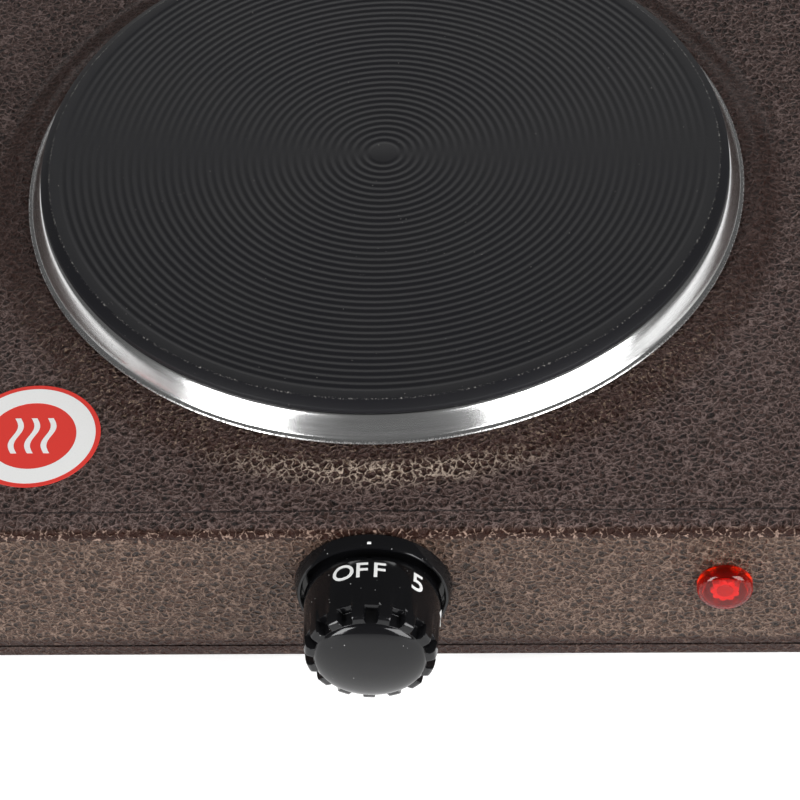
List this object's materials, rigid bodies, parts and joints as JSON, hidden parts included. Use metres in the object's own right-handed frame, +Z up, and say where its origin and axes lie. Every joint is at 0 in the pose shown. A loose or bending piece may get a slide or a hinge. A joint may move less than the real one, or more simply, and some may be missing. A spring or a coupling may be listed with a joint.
{
  "type": "hot plate burner",
  "caption": "Free-standing electric hot plate: a grooved round cast-iron plate in a steel ring on a square painted body, with a fluted front knob and a pilot lamp.",
  "frame": {"origin": "middle of the bounding box, on the table plane under the feet", "axes": "+Z up from the table, +Y from the knob at the front to the cord gland at the back, +X to the right seen from the front"},
  "size_m": [0.245, 0.2786, 0.0745],
  "materials": {
    "hammertone_paint": "satin",
    "cast_iron": "matte",
    "polished_steel": "polished",
    "plated_steel": "satin",
    "black_plastic": "gloss",
    "red_lens": "gloss",
    "bulb_glass": "gloss",
    "rubber": "matte",
    "ceramic": "matte",
    "brass": "satin",
    "label": "satin",
    "wire_cover": "satin"
  },
  "bodies": {
    "housing": {"base_tray": "hammertone_paint", "bimetal_strip": "brass", "centre_stud": "plated_steel", "coil_packing": "ceramic", "control_screw_left": "plated_steel", "control_screw_right": "plated_steel", "cord_gland": "black_plastic", "corner_bracket_front_left": "plated_steel", "corner_bracket_front_right": "plated_steel", "corner_bracket_rear_left": "plated_steel", "corner_bracket_rear_right": "plated_steel", "earth_lug": "brass", "earth_screw": "plated_steel", "fixed_contact_blade": "brass", "foot_front_left": "rubber", "foot_front_right": "rubber", "foot_rear_left": "rubber", "foot_rear_right": "rubber", "foot_screw_front_left": "plated_steel", "foot_screw_front_right": "plated_steel", "foot_screw_rear_left": "plated_steel", "foot_screw_rear_right": "plated_steel", "gland_nut": "black_plastic", "heat_reflector": "plated_steel", "heating_coil": "plated_steel", "heating_plate": "cast_iron", "insulator_stack": "ceramic", "knob_bezel": "black_plastic", "lamp_bulb": "bulb_glass", "lamp_holder": "black_plastic", "lamp_lens": "red_lens", "lamp_nut": "plated_steel", "mounting_bridge": "plated_steel", "plate_cover": "plated_steel", "plate_terminal_inner": "brass", "plate_terminal_outer": "brass", "spring_contact_blade": "brass", "stack_rivet": "plated_steel", "stud_nut": "plated_steel", "stud_washer": "plated_steel", "terminal_block": "ceramic", "terminal_block_screw": "plated_steel", "terminal_ceramic": "ceramic", "terminal_clamp_earth": "brass", "terminal_clamp_live": "brass", "terminal_clamp_neutral": "brass", "thermal_cutout": "plated_steel", "thermostat_plate": "plated_steel", "top_cover": "hammertone_paint", "top_label": "label", "trim_ring": "polished_steel", "wire_earth": "wire_cover", "wire_live": "wire_cover", "wire_neutral": "wire_cover", "wire_switched": "wire_cover"},
    "knob_assembly": {"knob": "black_plastic", "knob_spring": "plated_steel", "control_shaft": "plated_steel"},
    "adjuster": {"adjuster_pin": "ceramic"}
  },
  "joints": [
    {"name": "knob_turn", "type": "hinge", "parent": "housing", "child": "knob_assembly", "pos_m": [0, -0.11165, 0.041], "axis": [0, 1, 0], "range_deg": [0, 310]},
    {"name": "adjuster_slide", "type": "slide", "parent": "housing", "child": "adjuster", "axis": [0, -1, 0], "range_m": [0, 0.0007]}
  ],
  "couplings": [
    {"joint": "adjuster_slide", "follows": "knob_turn", "m_per_rad": 0.00012732}
  ]
}
